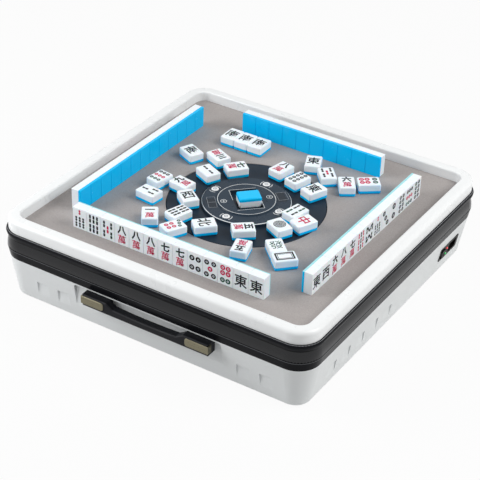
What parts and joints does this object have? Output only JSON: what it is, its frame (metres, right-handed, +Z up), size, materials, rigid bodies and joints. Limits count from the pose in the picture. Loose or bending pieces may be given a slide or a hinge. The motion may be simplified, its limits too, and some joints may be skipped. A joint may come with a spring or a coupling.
{
  "type": "automatic mahjong table",
  "caption": "Portable square automatic mahjong table: raised rim, grey play mat, rising centre control disc, tile lifts, shuffling drum and side carry handle.",
  "frame": {"origin": "bottom centre of the whole footprint, on the surface the feet stand on", "axes": "+Z up; -Y is the front, where the carry handle is; +X is the right side, where the power panel is"},
  "size_m": [0.507, 0.5164, 0.1466],
  "materials": {
    "shell_plastic": "smooth moulded pale grey plastic",
    "frame_plastic": "satin white moulded plastic",
    "band_black": "high-gloss black trim",
    "mat_fabric": "short warm grey pile",
    "deck_wood": "fibreboard",
    "tile_plastic": "polished white body on a blue back",
    "plate_dark": "satin slate grey",
    "button_white": "white caps",
    "window_glass": "smoked window",
    "grey_plastic": "inner moulded plastic",
    "black_plastic": "fine-grained black plastic",
    "steel": "machined steel",
    "motor_metal": "plated motor case",
    "brass": "sintered bush",
    "rubber": "black rubber",
    "board_green": "coated circuit board",
    "champagne_metal": "anodised, brushed",
    "lamp_lens": "clear tinted lens"
  },
  "bodies": {
    "case": {"lower_shell": "shell_plastic", "rubber_feet": "rubber", "lower_band": "band_black", "upper_band": "band_black", "top_frame": "frame_plastic", "deck_board": "deck_wood", "play_mat": "mat_fabric", "mat_tiles": "tile_plastic", "centre_guide_sleeve": "grey_plastic", "centre_lift_motor": "motor_metal", "drum_bearing": "brass", "drum_belt": "rubber", "drum_motor": "motor_metal", "tile_tracks": "grey_plastic", "pickup_motors": "motor_metal", "lift_guide_posts": "steel", "lift_motors": "motor_metal", "circuit_board": "board_green", "power_supply": "motor_metal", "power_panel": "black_plastic", "inlet_pins": "steel", "panel_lamps": "lamp_lens", "handle_bushes": "brass", "case_screws": "steel"},
    "centre_lift": {"centre_plate": "plate_dark", "plate_tiles": "tile_plastic", "control_disc": "plate_dark", "display_windows": "window_glass", "control_housing": "grey_plastic", "control_board": "board_green", "control_stem": "grey_plastic", "well_tile": "tile_plastic"},
    "lead_screw": {"centre_lead_screw": "steel"},
    "drum": {"shuffling_drum": "grey_plastic"},
    "motor_pulley": {"drum_pulley": "grey_plastic"},
    "handle": {"handle_grip": "black_plastic", "handle_end_plates": "champagne_metal", "handle_rods": "steel"},
    "switch": {"power_switch": "black_plastic"},
    "front_lift": {"front_lift_carriage": "grey_plastic", "front_tile_row": "tile_plastic"},
    "front_pinion": {"front_lift_pinion": "grey_plastic"},
    "front_wheel": {"front_pickup_wheel": "grey_plastic"},
    "front_button": {"front_button": "button_white"},
    "right_lift": {"right_lift_carriage": "grey_plastic", "right_tile_row": "tile_plastic"},
    "right_pinion": {"right_lift_pinion": "grey_plastic"},
    "right_wheel": {"right_pickup_wheel": "grey_plastic"},
    "right_button": {"right_button": "button_white"},
    "back_lift": {"back_lift_carriage": "grey_plastic", "back_tile_row": "tile_plastic"},
    "back_pinion": {"back_lift_pinion": "grey_plastic"},
    "back_wheel": {"back_pickup_wheel": "grey_plastic"},
    "back_button": {"back_button": "button_white"},
    "left_lift": {"left_lift_carriage": "grey_plastic", "left_tile_row": "tile_plastic"},
    "left_pinion": {"left_lift_pinion": "grey_plastic"},
    "left_wheel": {"left_pickup_wheel": "grey_plastic"},
    "left_button": {"left_button": "button_white"}
  },
  "joints": [
    {"name": "centre_lift_slide", "type": "slide", "parent": "case", "child": "centre_lift", "axis": [0, 0, 1], "range_m": [0, 0.042]},
    {"name": "lead_screw_turn", "type": "hinge", "parent": "case", "child": "lead_screw", "pos_m": [0, 0.00465, 0.04], "axis": [0, 0, 1], "range_deg": [-5, 1265]},
    {"name": "drum_turn", "type": "hinge", "parent": "case", "child": "drum", "pos_m": [0, 0.00465, 0.03], "axis": [0, 0, 1], "continuous": true},
    {"name": "motor_pulley_turn", "type": "hinge", "parent": "case", "child": "motor_pulley", "pos_m": [0.14, 0.14465, 0.02], "axis": [0, 0, 1], "continuous": true},
    {"name": "handle_slide", "type": "slide", "parent": "case", "child": "handle", "axis": [0, -1, 0], "range_m": [0, 0.0175]},
    {"name": "switch_rock", "type": "hinge", "parent": "case", "child": "switch", "pos_m": [0.24329, 0.15715, 0.03878], "axis": [0, 1, 0], "range_deg": [-7, 7]},
    {"name": "front_lift_slide", "type": "slide", "parent": "case", "child": "front_lift", "axis": [0, 0, 1], "range_m": [-0.04, 0]},
    {"name": "front_pinion_turn", "type": "hinge", "parent": "case", "child": "front_pinion", "pos_m": [-0.0295, -0.20285, 0.0575], "axis": [0, 1, 0], "range_deg": [-290, 3]},
    {"name": "front_wheel_turn", "type": "hinge", "parent": "case", "child": "front_wheel", "pos_m": [0.07, -0.10735, 0.064], "axis": [1, 0, 0], "continuous": true},
    {"name": "front_button_press", "type": "slide", "parent": "centre_lift", "child": "front_button", "axis": [0, 0, -1], "range_m": [0, 0.0015], "stiffness_N_per_m": 300},
    {"name": "right_lift_slide", "type": "slide", "parent": "case", "child": "right_lift", "axis": [0, 0, 1], "range_m": [-0.04, 0]},
    {"name": "right_pinion_turn", "type": "hinge", "parent": "case", "child": "right_pinion", "pos_m": [0.2075, -0.02485, 0.0575], "axis": [-1, 0, 0], "range_deg": [-290, 3]},
    {"name": "right_wheel_turn", "type": "hinge", "parent": "case", "child": "right_wheel", "pos_m": [0.112, 0.07465, 0.064], "axis": [0, 1, 0], "continuous": true},
    {"name": "right_button_press", "type": "slide", "parent": "centre_lift", "child": "right_button", "axis": [0, 0, -1], "range_m": [0, 0.0015], "stiffness_N_per_m": 300},
    {"name": "back_lift_slide", "type": "slide", "parent": "case", "child": "back_lift", "axis": [0, 0, 1], "range_m": [-0.04, 0]},
    {"name": "back_pinion_turn", "type": "hinge", "parent": "case", "child": "back_pinion", "pos_m": [0.0295, 0.21215, 0.0575], "axis": [0, -1, 0], "range_deg": [-290, 3]},
    {"name": "back_wheel_turn", "type": "hinge", "parent": "case", "child": "back_wheel", "pos_m": [-0.07, 0.11665, 0.064], "axis": [-1, 0, 0], "continuous": true},
    {"name": "back_button_press", "type": "slide", "parent": "centre_lift", "child": "back_button", "axis": [0, 0, -1], "range_m": [0, 0.0015], "stiffness_N_per_m": 300},
    {"name": "left_lift_slide", "type": "slide", "parent": "case", "child": "left_lift", "axis": [0, 0, 1], "range_m": [-0.04, 0]},
    {"name": "left_pinion_turn", "type": "hinge", "parent": "case", "child": "left_pinion", "pos_m": [-0.2075, 0.03415, 0.0575], "axis": [1, 0, 0], "range_deg": [-290, 3]},
    {"name": "left_wheel_turn", "type": "hinge", "parent": "case", "child": "left_wheel", "pos_m": [-0.112, -0.06535, 0.064], "axis": [0, -1, 0], "continuous": true},
    {"name": "left_button_press", "type": "slide", "parent": "centre_lift", "child": "left_button", "axis": [0, 0, -1], "range_m": [0, 0.0015], "stiffness_N_per_m": 300}
  ],
  "couplings": [
    {"joint": "lead_screw_turn", "follows": "centre_lift_slide", "rad_per_m": 523.6},
    {"joint": "motor_pulley_turn", "follows": "drum_turn", "ratio": 8.3333},
    {"joint": "front_pinion_turn", "follows": "front_lift_slide", "rad_per_m": 125},
    {"joint": "right_pinion_turn", "follows": "right_lift_slide", "rad_per_m": 125},
    {"joint": "back_pinion_turn", "follows": "back_lift_slide", "rad_per_m": 125},
    {"joint": "left_pinion_turn", "follows": "left_lift_slide", "rad_per_m": 125}
  ]
}
